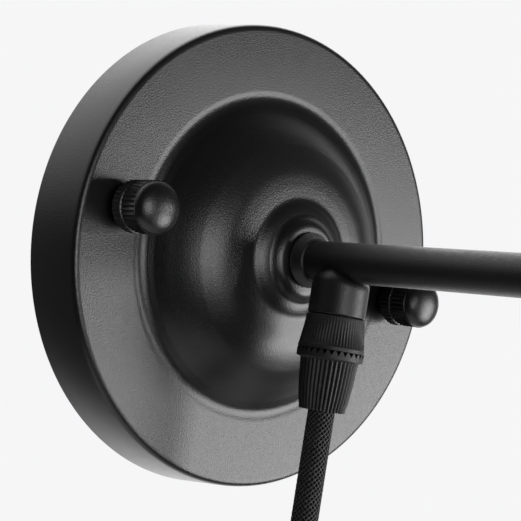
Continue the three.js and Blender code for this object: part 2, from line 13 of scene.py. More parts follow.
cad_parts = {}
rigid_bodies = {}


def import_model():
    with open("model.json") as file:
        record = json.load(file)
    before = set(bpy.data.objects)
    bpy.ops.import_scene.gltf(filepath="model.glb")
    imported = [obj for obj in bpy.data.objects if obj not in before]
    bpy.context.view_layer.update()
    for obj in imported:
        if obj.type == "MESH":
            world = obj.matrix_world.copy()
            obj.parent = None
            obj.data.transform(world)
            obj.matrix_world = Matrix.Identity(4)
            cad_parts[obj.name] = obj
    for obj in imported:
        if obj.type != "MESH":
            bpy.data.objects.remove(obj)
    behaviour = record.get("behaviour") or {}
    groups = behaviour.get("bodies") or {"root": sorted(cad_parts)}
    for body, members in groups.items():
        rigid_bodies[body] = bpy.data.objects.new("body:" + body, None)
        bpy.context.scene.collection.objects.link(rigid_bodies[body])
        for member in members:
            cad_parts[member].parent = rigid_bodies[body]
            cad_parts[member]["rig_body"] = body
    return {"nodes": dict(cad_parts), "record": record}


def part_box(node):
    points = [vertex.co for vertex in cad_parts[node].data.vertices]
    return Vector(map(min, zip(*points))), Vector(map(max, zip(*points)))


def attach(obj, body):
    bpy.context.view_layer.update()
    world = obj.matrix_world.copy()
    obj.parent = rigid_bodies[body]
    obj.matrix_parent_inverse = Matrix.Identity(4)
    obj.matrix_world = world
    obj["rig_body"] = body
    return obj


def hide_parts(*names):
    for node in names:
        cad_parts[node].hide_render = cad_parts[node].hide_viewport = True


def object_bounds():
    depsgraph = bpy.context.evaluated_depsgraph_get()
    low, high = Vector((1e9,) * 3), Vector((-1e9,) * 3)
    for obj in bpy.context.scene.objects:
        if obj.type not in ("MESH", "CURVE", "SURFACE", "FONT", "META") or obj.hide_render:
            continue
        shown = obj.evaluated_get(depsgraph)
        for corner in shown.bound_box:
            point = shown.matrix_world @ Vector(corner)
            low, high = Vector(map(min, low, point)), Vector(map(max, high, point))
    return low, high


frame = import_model()
cad_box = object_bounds()

MM = 0.001
BROAD = 240  # sides of the canopy and the shade
ROUND = 96  # of tubes and housings
SMALL = 48  # of fasteners and bores
FILLET_STEPS = 5
SHARP_ANGLE = math.radians(38)
RING_Y = -16.9  # the canopy's flat ring
GROOVE_RADIUS = 40.8  # bottom of the shallow groove between that ring and the dome
GROOVE_DEPTH = 0.14
FILLET = 3.8  # radius of the fillet that rises from the groove to the dome
FLANK_SLOPE = math.radians(46)  # the dome's steepest slope, where the fillet ends
BOSS_SEAT_Y = -33.1  # the boss's flat top, where the collar sits
SHEET = 1.0  # pressed steel of the canopy and the shade
TUBE_WALL = 0.65  # of the painted arm and neck tubes


# ---------- Places, from the frame ----------
def centre(node):
    low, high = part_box(node)
    return (low + high) / 2 / MM


def span(node):
    low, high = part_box(node)
    return (high - low) / MM


ARM_RADIUS = span("outer_arm_tube").x / 2
INLET_Y = centre("cord_inlet").y
ELBOW_Y = centre("elbow_pivot_tube").y
TILT_Y = centre("tilt_pivot_tube").y
ARM_STEP = centre("outer_arm_tube").z
HEAD_X = centre("neck_tube").x
CORD_RADIUS = span("cord_upper").y / 2
GRIP_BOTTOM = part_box("grip_sleeve")[0].z / MM
COIL_CENTRE = centre("cord_coil")
COIL_OUTER = span("cord_coil").x / 2 - CORD_RADIUS
COIL_INNER = COIL_OUTER - 6 * CORD_RADIUS
PLUG_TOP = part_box("plug_body")[1].z / MM
SWITCH_LOW, SWITCH_HIGH = (corner.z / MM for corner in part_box("switch_back_shell"))


def shift(x, y, z):
    return Matrix.Translation(Vector((x, y, z)) * MM)


ALONG_Y = Matrix.Rotation(-math.pi / 2, 4, "X")  # a piece's own axis laid along +Y
CORD_LINE = shift(0, INLET_Y, 0)
ELBOW = shift(0, ELBOW_Y, 0)
TILT = shift(0, TILT_Y, ARM_STEP) @ Matrix.Rotation(math.pi / 2, 4, "Y")
HEAD = shift(HEAD_X, TILT_Y, ARM_STEP)


# ---------- Camera ----------
VIEW_AZIMUTH = math.radians(-40.63)
VIEW_ELEVATION = math.radians(-4.09)
VIEW_ROLL = math.radians(9.05)
VIEW_AIM = Vector((0, -14.9, -1.0)) * MM
VIEW_DISTANCE = 406.5 * MM


def make_camera():
    back = Vector((
        math.sin(VIEW_AZIMUTH) * math.cos(VIEW_ELEVATION),
        -math.cos(VIEW_AZIMUTH) * math.cos(VIEW_ELEVATION),
        math.sin(VIEW_ELEVATION),
    ))
    right = Vector((0, 0, 1)).cross(back).normalized()
    up = back.cross(right)
    across = right * math.cos(VIEW_ROLL) + up * math.sin(VIEW_ROLL)
    upward = up * math.cos(VIEW_ROLL) - right * math.sin(VIEW_ROLL)
    data = bpy.data.cameras.new("view")
    data.lens = 109.6
    data.sensor_width = 36
    data.clip_start = 0.01
    camera = bpy.data.objects.new("view", data)
    camera.matrix_world = Matrix((across, upward, back)).transposed().to_4x4()
    camera.location = VIEW_AIM + back * VIEW_DISTANCE
    bpy.context.scene.collection.objects.link(camera)
    bpy.context.scene.camera = camera


# ---------- Material helpers ----------
def new_material(name):
    material = bpy.data.materials.new(name)
    material.use_nodes = True
    return material, material.node_tree, material.node_tree.nodes["Principled BSDF"]


def add_node(tree, kind, **settings):
    node = tree.nodes.new("ShaderNode" + kind)
    for name, value in settings.items():
        if hasattr(node, name):
            setattr(node, name, value)
        else:
            node.inputs[name].default_value = value
    return node


def add_noise(tree, scale, detail=2.0, stretch=None):
    """Noise in the object's own coordinates. Scale is in cells per metre."""
    place = add_node(tree, "TexCoord").outputs["Object"]
    if stretch:
        mapping = add_node(tree, "Mapping", Scale=stretch)
        tree.links.new(place, mapping.inputs["Vector"])
        place = mapping.outputs["Vector"]
    noise = add_node(tree, "TexNoise", Scale=scale, Detail=detail)
    tree.links.new(place, noise.inputs["Vector"])
    return noise.outputs["Fac"]


def ramp(tree, source, stops):
    """A colour ramp with stops of (position, grey or colour)."""
    node = add_node(tree, "ValToRGB")
    elements = node.color_ramp.elements
    while len(elements) < len(stops):
        elements.new(0.5)
    for element, (position, colour) in zip(elements, stops):
        element.position = position
        grey = not isinstance(colour, tuple)
        element.color = (colour, colour, colour, 1) if grey else (*colour, 1)
    tree.links.new(source, node.inputs["Fac"])
    return node.outputs["Color"]


def bump(tree, height, distance, strength=1.0, under=None):
    node = add_node(tree, "Bump", Strength=strength, Distance=distance)
    tree.links.new(height, node.inputs["Height"])
    if under:
        tree.links.new(under, node.inputs["Normal"])
    return node.outputs["Normal"]


# ---------- Materials ----------
def powder_coat(name, low_roughness, high_roughness):
    """Satin black powder coat: fine pimpled grain over a faint waviness."""
    material, tree, shader = new_material(name)
    shader.inputs["IOR"].default_value = 1.5
    patches = add_noise(tree, 60, 3)
    dark, light = (0.0060, 0.0060, 0.0066), (0.0090, 0.0090, 0.0098)
    colour = ramp(tree, patches, [(0.3, dark), (0.7, light)])
    tree.links.new(colour, shader.inputs["Base Color"])
    gloss = ramp(tree, add_noise(tree, 900, 3), [(0.3, low_roughness), (0.7, high_roughness)])
    tree.links.new(gloss, shader.inputs["Roughness"])
    waves = bump(tree, add_noise(tree, 90, 1), 0.00008, 0.2)
    grain = bump(tree, add_noise(tree, 2600, 2), 0.00006, 0.9, waves)
    tree.links.new(grain, shader.inputs["Normal"])
    return material


def black_plastic():
    """Matte moulded plastic with a fine spark-eroded grain and a few pale scuffs."""
    material, tree, shader = new_material("black_plastic")
    plain, scuffed = (0.007, 0.007, 0.0073), (0.05, 0.05, 0.048)
    scuffs = ramp(tree, add_noise(tree, 700, 6), [(0.66, plain), (0.74, scuffed)])
    tree.links.new(scuffs, shader.inputs["Base Color"])
    gloss = ramp(tree, add_noise(tree, 1500, 3), [(0.3, 0.5), (0.7, 0.66)])
    tree.links.new(gloss, shader.inputs["Roughness"])
    grain = bump(tree, add_noise(tree, 3500, 3), 0.00004, 0.5)
    tree.links.new(grain, shader.inputs["Normal"])
    return material


def braid():
    """Black textile braid. The UV map counts carriers round the cord and crossings along it."""
    material, tree, shader = new_material("black_fabric")
    shader.inputs["Sheen Weight"].default_value = 0.12
    shader.inputs["Sheen Roughness"].default_value = 0.4
    place = add_node(tree, "UVMap", uv_map="braid").outputs["UV"]
    split = add_node(tree, "SeparateXYZ")
    tree.links.new(place, split.inputs["Vector"])
    strands = []
    for operation in ("ADD", "SUBTRACT"):
        slant = add_node(tree, "Math", operation=operation)
        tree.links.new(split.outputs["X"], slant.inputs[0])
        tree.links.new(split.outputs["Y"], slant.inputs[1])
        turn = add_node(tree, "Math", operation="MULTIPLY")
        turn.inputs[1].default_value = 2 * math.pi
        tree.links.new(slant.outputs[0], turn.inputs[0])
        wave = add_node(tree, "Math", operation="SINE")
        tree.links.new(turn.outputs[0], wave.inputs[0])
        strands.append(wave.outputs[0])
    weave = add_node(tree, "Math", operation="MAXIMUM")
    tree.links.new(strands[0], weave.inputs[0])
    tree.links.new(strands[1], weave.inputs[1])
    # The near black between the strands is painted shade; the strand tops carry the braid's own
    # dark tone.
    colour = ramp(tree, weave.outputs[0], [(0.35, 0.0008), (1.0, 0.024)])
    tree.links.new(colour, shader.inputs["Base Color"])
    gloss = ramp(tree, add_noise(tree, 1200, 3), [(0.3, 0.5), (0.7, 0.7)])
    tree.links.new(gloss, shader.inputs["Roughness"])
    fibres = bump(tree, add_noise(tree, 5000, 3), 0.00008, 0.7)
    tree.links.new(bump(tree, weave.outputs[0], 0.00012, 0.9, fibres), shader.inputs["Normal"])
    return material


def metal(name, colour, low_gloss, high_gloss, tarnish):
    """Plated or bare metal with drawn streaks and patches of tarnish."""
    material, tree, shader = new_material(name)
    shader.inputs["Metallic"].default_value = 1.0
    dull = tuple(channel * tarnish for channel in colour)
    patches = ramp(tree, add_noise(tree, 180, 5), [(0.35, dull), (0.65, colour)])
    tree.links.new(patches, shader.inputs["Base Color"])
    gloss = ramp(tree, add_noise(tree, 1400, 4), [(0.3, low_gloss), (0.7, high_gloss)])
    tree.links.new(gloss, shader.inputs["Roughness"])
    streaks = bump(tree, add_noise(tree, 600, 3, (1, 1, 12)), 0.00003, 0.4)
    tree.links.new(streaks, shader.inputs["Normal"])
    return material


def dull_solid(name, dark, light, roughness, grain_scale, grain_depth):
    """Fibre, glazed ceramic or soft sheath: two close tones and a fine grain."""
    material, tree, shader = new_material(name)
    tree.links.new(ramp(tree, add_noise(tree, 220, 4), [(0.3, dark), (0.7, light)]),
                   shader.inputs["Base Color"])
    gloss = ramp(tree, add_noise(tree, 500, 3), [(0.3, roughness * 0.85), (0.7, roughness * 1.15)])
    tree.links.new(gloss, shader.inputs["Roughness"])
    grain = bump(tree, add_noise(tree, grain_scale, 3), grain_depth, 0.5)
    tree.links.new(grain, shader.inputs["Normal"])
    return material


MATERIALS = {
    "black_powder_coat": powder_coat("black_powder_coat", 0.30, 0.34),
    "black_plastic": black_plastic(),
    "black_fabric": braid(),
    "zinc_steel": metal("zinc_steel", (0.56, 0.57, 0.58), 0.26, 0.42, 0.72),
    "brass": metal("brass", (0.62, 0.45, 0.19), 0.24, 0.4, 0.66),
    "fibre": dull_solid("fibre", (0.020, 0.012, 0.009), (0.034, 0.022, 0.017), 0.8, 1800, 0.00006),
    "white_ceramic": dull_solid("white_ceramic", (0.72, 0.70, 0.65), (0.78, 0.76, 0.71), 0.22, 300,
                                0.00003),
    "lead_sheath": dull_solid("lead_sheath", (0.62, 0.62, 0.59), (0.68, 0.68, 0.65), 0.5, 900,
                              0.00003),
}
MATTE_COAT = powder_coat("black_powder_coat_matte", 0.40, 0.50)
MATTE_NODES = "root_collar", "wall_arm_tube", "cord_inlet", "outer_arm_tube"
SLOT_OF = {part["node"]: part["material_slot"] for part in frame["record"]["subparts"]}


# ---------- Shape helpers ----------
def spline(points, steps):
    """A smooth curve through the points, with a number of steps between each two."""
    ends = [Vector(p) for p in points]
    ends = [2 * ends[0] - ends[1], *ends, 2 * ends[-1] - ends[-2]]
    curve = []
    for a, b, c, d in zip(ends, ends[1:], ends[2:], ends[3:]):
        for i in range(steps):
            t = i / steps
            curve.append((2 * b + (c - a) * t + (2 * a - 5 * b + 4 * c - d) * t * t
                          + (3 * b - a - 3 * c + d) * t ** 3) / 2)
    return [tuple(p) for p in [*curve, ends[-2]]]


def rounded(outline):
    """A closed outline whose corners with a third number are rounded, reaching that far."""
    points = []
    for i, (radius, height, *reach) in enumerate(outline):
        corner = Vector((radius, height))
        if not reach:
            points.append(corner)
            continue
        before = Vector(outline[i - 1][:2]) - corner
        after = Vector(outline[(i + 1) % len(outline)][:2]) - corner
        length = min(reach[0], 0.45 * before.length, 0.45 * after.length)
        before, after = before.normalized() * length, after.normalized() * length
        points.append(corner + before * 1.08)
        for step in range(FILLET_STEPS + 1):
            t = step / FILLET_STEPS
            points.append(corner + before * (1 - t) ** 2 + after * t * t)
        points.append(corner + after * 1.08)
    return [tuple(p) for p in points]


def offset(outline, thickness):
    """An open outline moved sideways, towards the left of its direction."""
    moved = []
    for i, point in enumerate(outline):
        along = Vector(outline[min(i + 1, len(outline) - 1)]) - Vector(outline[max(i - 1, 0)])
        left = Vector((-along.y, along.x)).normalized()
        moved.append(tuple(Vector(point) + left * thickness))
    return moved


def stitch(rings, closed):
    """Faces between successive rings of vertex numbers. A ring of one vertex is a pole."""
    sides = max(len(ring) for ring in rings)
    faces = []
    for a, b in zip(rings, rings[1:] + rings[:1] if closed else rings[1:]):
        for i in range(sides):
            j = (i + 1) % sides
            corners = [a[i % len(a)], a[j % len(a)], b[j % len(b)], b[i % len(b)]]
            faces.append(list(dict.fromkeys(corners)))
    return faces


def lathe(outline, sides, mould=None):
    """A closed outline turned about +Z. mould(angle, radius, height) may move each point."""
    vertices = []
    rings = []
    for radius, height, *_ in outline:
        if radius < 1e-6:
            rings.append([len(vertices)])
            vertices.append(Vector((0, 0, height)))
            continue
        rings.append(range(len(vertices), len(vertices) + sides))
        for i in range(sides):
            angle = 2 * math.pi * i / sides
            r, h = mould(angle, radius, height) if mould else (radius, height)
            vertices.append(Vector((r * math.cos(angle), r * math.sin(angle), h)))
    return vertices, stitch([list(ring) for ring in rings], len(rings[0]) > 1)


def new_object(name, shape, place=Matrix.Identity(4)):
    """A smooth-shaded object of a shape in millimetres, set in place in metres."""
    vertices, faces = shape
    mesh = bpy.data.meshes.new(name)
    mesh.from_pydata([place @ (v * MM) for v in vertices], [], faces)
    build = bmesh.new()
    build.from_mesh(mesh)
    bmesh.ops.recalc_face_normals(build, faces=build.faces)
    build.to_mesh(mesh)
    build.free()
    mesh.shade_smooth()
    mesh.set_sharp_from_angle(angle=SHARP_ANGLE)
    piece = bpy.data.objects.new(name, mesh)
    bpy.context.scene.collection.objects.link(piece)
    return piece


def apply_modifiers(piece):
    graph = bpy.context.evaluated_depsgraph_get()
    mesh = bpy.data.meshes.new_from_object(piece.evaluated_get(graph))
    piece.modifiers.clear()
    piece.data = mesh
    mesh.shade_smooth()
    mesh.set_sharp_from_angle(angle=SHARP_ANGLE)


def cut(piece, *tools):
    """Cuts each tool, a new object, out of the piece, and deletes it."""
    for tool in tools:
        modifier = piece.modifiers.new("cut", "BOOLEAN")
        modifier.operation = "DIFFERENCE"
        modifier.solver = "EXACT"
        modifier.object = tool
    apply_modifiers(piece)
    for tool in tools:
        bpy.data.objects.remove(tool)


def finish_piece(piece, *nodes):
    """Dresses a piece in its node's material, and makes it ride and stand for its nodes."""
    slot = SLOT_OF[nodes[0]]
    piece.data.materials.clear()
    piece.data.materials.append(MATTE_COAT if nodes[0] in MATTE_NODES else MATERIALS[slot])
    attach(piece, frame["nodes"][nodes[0]]["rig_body"])
    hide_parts(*nodes)
    return piece


def turned(name, node, outline, place, sides=ROUND, mould=None):
    """A finished piece of revolution."""
    return finish_piece(new_object(name, lathe(rounded(outline), sides, mould), place), node)


def bar_tool(radius, low, high, place, sides=SMALL):
    outline = [(0, low), (radius, low), (radius, high), (0, high)]
    return new_object("tool", lathe(outline, sides), place)


def tube(bore, radius, low, high, round_off=0.25):
    return [(bore, low), (radius, low, round_off), (radius, high, round_off), (bore, high)]


def wave(angle, count):
    """A triangle wave round the axis, from 0 to 1."""
    return abs((angle * count / (2 * math.pi)) % 1 - 0.5) * 2


# ---------- Canopy ----------
def canopy_face():
    """From the wall inwards: side wall, flat ring, groove, fillet, dome, stepped boss, bore."""
    edge = rounded([(60, -0.4), (58.85, RING_Y, 1.6), (50, RING_Y)])[:-1]
    rim = [(59.7, 0), (59.9, -0.1), *edge]
    groove = [(42.5, RING_Y), (42.1, RING_Y + 0.01), (41.7, RING_Y + 0.05), (41.2, RING_Y + 0.12)]
    fillet = []
    for i in range(13):
        angle = FLANK_SLOPE * i / 12
        fillet.append((GROOVE_RADIUS - FILLET * math.sin(angle),
                       RING_Y + GROOVE_DEPTH - FILLET * (1 - math.cos(angle))))
    dome = spline([
        (37.2, -18.5), (36.1, -19.65), (35, -20.75), (33.8, -21.85), (32.4, -23.1), (31, -24.25),
        (29.5, -25.35), (28, -26.3), (25, -27.75), (22, -28.75), (19, -29.2), (16.8, -29.38),
        (15.2, -29.5), (14.3, -29.8), (13.5, -30.25), (12.7, -30.65), (11.9, -30.95), (11.1, -31.2),
        (10.5, -31.6), (9.9, -32.15), (9.3, -32.6), (8.7, -32.92), (8.1, -33.06),
        (7.5, BOSS_SEAT_Y),
    ], 5)
    return [*rim, *groove, *fillet, *dome, (ARM_RADIUS, BOSS_SEAT_Y)]


def make_canopy():
    face = canopy_face()
    lining = offset(face, -SHEET)
    lining[-1] = (ARM_RADIUS, lining[-1][1])
    lining = [(59, 0), *(p for p in lining if p[1] < -1)]
    outline = [*face, *reversed(lining)]
    canopy = new_object("canopy_pressing", lathe(outline, BROAD), ALONG_Y)
    holes = []
    for side in ("left", "right"):
        nut = centre("thumb_nut_" + side)
        holes.append(bar_tool(2.3, -19, -14, shift(nut.x, 0, nut.z) @ ALONG_Y))
    cut(canopy, *holes)
    finish_piece(canopy, "canopy")


# ---------- Thumb nuts ----------
NUT_RIDGES = 34


def knurl(angle, radius, height):
    """Straight ridges on the barrel, in two bands with a plain groove between them."""
    on_barrel = radius > 6.1 and (-23.4 < height < -20.1 or -28.75 < height < -23.9)
    if not on_barrel:
        return radius, height
    return radius - 0.42 * wave(angle, NUT_RIDGES), height


def make_thumb_nut(side):
    place = centre("thumb_nut_" + side)
    band = [(6.35, -28.7), (6.35, -24.0), (5.95, -23.85), (5.95, -23.6), (6.35, -23.45),
            (6.35, -20.2)]
    dome = [(6.3 * math.sin(a), -29.15 - 3.25 * math.cos(a))
            for a in (math.radians(90) * i / 14 for i in range(15))]
    outline = [*dome, (6.4, -29.08), (6.4, -28.85), (6.1, -28.78), *band, (6.0, -19.9),
               (4.2, -19.5, 0.2), (4.2, -17.2), (2.3, -17.2), (2.3, -28.3), (0, -28.3)]
    turned("thumb_nut_" + side + "_knurled", "thumb_nut_" + side, outline,
           shift(place.x, 0, place.z) @ ALONG_Y, sides=NUT_RIDGES * 6, mould=knurl)


# ---------- Collar, arm and cord inlet ----------
def make_collar():
    back, front = (corner.y / MM for corner in reversed(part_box("root_collar")))
    grooves = []
    for i in range(8):
        y = back - 0.55 - 0.28 * i
        radius = 6.85 - 0.16 * i
        grooves += [(radius, y), (radius - 0.13, y - 0.14)]
    bore = ARM_RADIUS + 0.05
    outline = [(4.3, back), (6.9, back, 0.2), (6.9, back - 0.5), *grooves,
               (5.45, front + 0.1, 0.15), (bore, front), (bore, back - 1.4), (4.3, back - 1.4)]
    turned("root_collar_turned", "root_collar", outline, ALONG_Y)


def make_arm_tube(name, node, place):
    low, high = (corner.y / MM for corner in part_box(node))
    turned(name, node, tube(ARM_RADIUS - TUBE_WALL, ARM_RADIUS, low, high), place @ ALONG_Y)


def make_inlet():
    """A short tube whose upper end closes in on the arm with a soft brazed lip."""
    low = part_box("cord_inlet")[0].z / MM
    radius, bore, sides = 7.0, 5.2, 120
    columns = []
    for i in range(sides):
        angle = 2 * math.pi * i / sides
        across, along = math.cos(angle), math.sin(angle)
        lip = -5.2 + 1.7 * across * across + 0.06 * math.sin(5 * angle + 1)
        meet_x = 4.3 * across
        meet_z = -math.sqrt(ARM_RADIUS ** 2 - meet_x ** 2)
        meet = Vector((meet_x, 6.1 * along, meet_z + 0.12))
        shoulder = Vector((radius * across, radius * along, lip))
        column = [Vector((bore * across, bore * along, z)) for z in (-7.5, low + 0.2)]
        column += [Vector(((bore + 0.2) * across, (bore + 0.2) * along, low))]
        column += [Vector((r * across, r * along, z)) for r, z in
                   ((radius - 0.5, low), (radius - 0.25, low + 0.05), (radius - 0.07, low + 0.2),
                    (radius, low + 0.45), (radius, low + 0.8), (radius, -8))]
        start = shoulder - Vector((0, 0, 1.5))
        for step in range(9):
            t = step / 8
            column.append(start * (1 - t) ** 2 + shoulder * 2 * t * (1 - t) + meet * t * t)
        columns.append(column)
    vertices = [v for ring in zip(*columns) for v in ring]
    rings = [list(range(k * sides, (k + 1) * sides)) for k in range(len(columns[0]))]
    shape = vertices, stitch(rings, True)
    finish_piece(new_object("cord_inlet_brazed", shape, CORD_LINE), "cord_inlet")


# ---------- Cord grip ----------
CUP_RIBS = 62
SLEEVE_RIBS = 38
CROWN_TEETH = 30


def cup_ribs(angle, radius, height):
    ribbed = radius > 6.9 and -20.25 < height < -13.8
    return radius - (0.24 * wave(angle, CUP_RIBS) if ribbed else 0), height


def sleeve_ribs(angle, radius, height):
    if radius > 5.2 and height < -24:
        return radius - 0.42 * wave(angle, SLEEVE_RIBS) ** 1.5, height
    if radius > 7.3 and height > -21.9:
        return radius, height - 1.15 * max(0, 1.35 * wave(angle, CROWN_TEETH) - 0.35)
    return radius, height


def make_grip():
    cup = [(5.4, -21.47), (7.3, -21.47), (8.05, -21.47, 0.12), (8.05, -20.6, 0.25), (7.93, -20.4),
           (7.9, -20.2), (7.65, -18.4), (7.35, -16.2), (7.1, -13.7), (6.98, -13.3, 0.1),
           (4.9, -13.25), (4.9, -7), (3.6, -7), (3.6, -15.5), (5.4, -15.5)]
    turned("grip_cup_ribbed", "grip_cup", cup, CORD_LINE, CUP_RIBS * 6, cup_ribs)
    sleeve = [(3.6, -36.0), (5.0, -36.1), (5.5, -36.05), (5.6, -35.8), (6.1, -33.2), (6.6, -29.4),
              (6.95, -24.6), (7.0, -24.1), (7.1, -23.85), (8.0, -23.6, 0.2), (8.1, -23.1),
              (8.1, -21.55), (7.5, -21.55), (7.3, -21.5), (5.1, -21.5), (5.1, -18.1), (3.6, -18.1)]
    turned("grip_sleeve_ribbed", "grip_sleeve", sleeve, CORD_LINE, 30 * 19, sleeve_ribs)


# ---------- More shape helpers ----------
def hexagon(across_flats):
    """A mould that clips a turned blank to a hexagon, as a nut is made."""
    def mould(angle, radius, height):
        flat = (across_flats / 2) / math.cos((angle + math.pi / 6) % (math.pi / 3) - math.pi / 6)
        return (min(radius, flat) if radius > across_flats / 2 else radius), height
    return mould


def thread(pitch, depth, low, high, least_radius=0.0):
    """A mould that runs a screw thread round the part of a blank between two heights."""
    def mould(angle, radius, height):
        if radius < least_radius or not low < height < high:
            return radius, height
        return radius - depth * wave(angle - 2 * math.pi * height / pitch, 1), height
    return mould


def steps(low, high, spacing):
    count = max(1, round((high - low) / spacing))
    return [low + (high - low) * i / count for i in range(count + 1)]


def rounded_rectangle(half_x, half_z, corner, count=10):
    """Points round a rectangle in the X Z plane, with rounded corners."""
    points = []
    for k, (sx, sz) in enumerate(((1, 1), (-1, 1), (-1, -1), (1, -1))):
        for i in range(count + 1):
            angle = math.pi / 2 * (k + i / count)
            points.append((sx * (half_x - corner) + corner * math.cos(angle),
                           sz * (half_z - corner) + corner * math.sin(angle)))
    return points


def slab(half_x, half_z, corner, layers):
    """A rounded-rectangle block along Y. Each layer is (inset, y), and both ends are closed."""
    vertices = []
    rings = []
    for inset, y in layers:
        ring = rounded_rectangle(half_x - inset, half_z - inset, max(corner - inset, 0.3))
        rings.append(list(range(len(vertices), len(vertices) + len(ring))))
        vertices += [Vector((x, y, z)) for x, z in ring]
    return vertices, stitch(rings, False) + [rings[0], rings[-1]]


def extruded(profile, half_width):
    """A closed profile of (y, z) points drawn out along X to both sides of zero."""
    count = len(profile)
    vertices = [Vector((x, y, z)) for x in (-half_width, half_width) for y, z in profile]
    ends = [list(range(count)), list(range(count, 2 * count))]
    sides = [[i, (i + 1) % count, count + (i + 1) % count, count + i] for i in range(count)]
    return vertices, sides + ends


def bevelled(piece, width, segments=3):
    modifier = piece.modifiers.new("bevel", "BEVEL")
    modifier.width = width * MM
    modifier.segments = segments
    modifier.limit_method = "ANGLE"
    modifier.angle_limit = math.radians(30)
    apply_modifiers(piece)
    return piece


def fused(piece, *others, voxel=0.3, smoothing=8):
    """Joins pieces into one casting, with its inside corners softly filled."""
    for other in others:
        modifier = piece.modifiers.new("join", "BOOLEAN")
        modifier.operation = "UNION"
        modifier.solver = "EXACT"
        modifier.object = other
    remesh = piece.modifiers.new("remesh", "REMESH")
    remesh.mode = "VOXEL"
    remesh.voxel_size = voxel * MM
    smooth = piece.modifiers.new("smooth", "SMOOTH")
    smooth.factor = 0.5
    smooth.iterations = smoothing
    apply_modifiers(piece)
    for other in others:
        bpy.data.objects.remove(other)
    return piece


# ---------- Swivel knuckles ----------
DRUM_RADIUS = 9
SOCKET_RADIUS = 6.4
SOCKET_REACH = 16
TUBE_SEAT = 9.5


def socket(place):
    """The blank of a tube socket, with a groove turned near its mouth."""
    neck = SOCKET_RADIUS - 0.45
    outline = [(0, 0), (SOCKET_RADIUS, 0), (SOCKET_RADIUS, SOCKET_REACH - 2.2),
               (neck, SOCKET_REACH - 2), (neck, SOCKET_REACH - 1.6),
               (SOCKET_RADIUS, SOCKET_REACH - 1.4), (SOCKET_RADIUS, SOCKET_REACH, 0.4),
               (0, SOCKET_REACH)]
    return new_object("tool", lathe(rounded(outline), ROUND), place)


def socket_bores(place):
    return [bar_tool(ARM_RADIUS + 0.12, TUBE_SEAT, SOCKET_REACH + 2, place, ROUND),
            bar_tool(2.6, 0, TUBE_SEAT + 1, place)]


def make_knuckle(label, place, turn):
    """Both halves of a swivel. The fixed half's socket points along +Y, before its place."""
    fixed_socket = place @ ALONG_Y
    drum = [(0, -7.5), (7.4, -7.5, 0.8), (DRUM_RADIUS, -5.9, 0.8), (DRUM_RADIUS, 7, 0.4), (0, 7)]
    fixed = new_object(label + "_fixed_casting", lathe(rounded(drum), ROUND), place)
    fused(fixed, socket(fixed_socket))
    cut(fixed, bar_tool(4.3, -5.3, 9, place), *socket_bores(fixed_socket))
    finish_piece(fixed, label + "_fixed_half")

    turned_place = place @ Matrix.Rotation(turn, 4, "Z")
    outgoing = turned_place @ shift(0, 0, ARM_STEP) @ Matrix.Rotation(math.pi, 4, "Z") @ ALONG_Y
    drum = [(0, 8.6), (DRUM_RADIUS, 8.6, 0.4), (DRUM_RADIUS, 26.4, 0.4), (0, 26.4)]
    turning = new_object(label + "_turning_casting", lathe(rounded(drum), ROUND), place)
    fused(turning, socket(outgoing))
    cut(turning, bar_tool(6.8, 11.2, 28, place), bar_tool(4.3, 4, 12, place),
        *socket_bores(outgoing))
    finish_piece(turning, label + "_turning_half")

    washer = [(4.3, 7.3), (8.6, 7.3, 0.2), (8.6, 8.3, 0.2), (4.3, 8.3)]
    turned(label + "_washer_disc", label + "_friction_washer", washer, place)
    cap = [(0, 25.2), (6.4, 25.2), (6.4, 26.7), (9, 26.7, 0.2), (9, 27.6, 0.5), (7.6, 28.7, 1.2),
           (4.6, 29.3, 0.3), (4.4, 29.1, 0.2), (3.9, 29.1, 0.2), (3.7, 29.4, 0.3), (0, 29.55)]
    turned(label + "_cap_turned", label + "_cap", cap, place)


def make_inner_fastenings(label, place):
    spring = [(4.3, 11.55), (6.2, 11.55, 0.1), (6.2, 12.1, 0.1), (4.3, 12.1)]

    def waved(angle, radius, height):
        return radius, height + 0.05 * math.sin(3 * angle)
    turned(label + "_wave_washer", label + "_spring_washer", spring, place, SMALL * 2, waved)
    nut = [(4.3, 12.5), (5.5, 12.5), (6.35, 12.85), (6.35, 14.25), (5.5, 14.6), (4.3, 14.6)]
    turned(label + "_hex_nut", label + "_pivot_nut", nut, place, ROUND, hexagon(11))


# ---------- Head: neck, lampholder and shade ----------
RING_RIBS = 40
EDISON_PITCH = 3.63  # of the lampholder's rolled thread


def shade_face():
    """The shade's outside, from its neck down to the rolled rim, as (radius, height)."""
    return spline([(21.2, -61.2), (25, -62.4), (34, -68), (42, -76), (50, -86), (57, -97.5),
                   (61.6, -110), (64.2, -121), (64.6, -126)], 8)


def make_shade():
    face = shade_face()
    lining = offset(face, -SHEET)
    rim = [(64.05 + 0.9 * math.cos(a), -127.1 + 0.9 * math.sin(a))
           for a in (math.radians(55 - 290 * i / 14) for i in range(15))]
    seat = [(19.8, -60.4, 0.3), (17.1, -60.4), (17.1, -61.4), (20.6, -61.4)]
    inside = [p for p in reversed(lining) if p[0] > 21 and p[1] < -62.2]
    outline = rounded([*face, *rim, *inside, *reversed(seat)])
    finish_piece(new_object("shade_spun", lathe(outline, BROAD), HEAD), "shade")


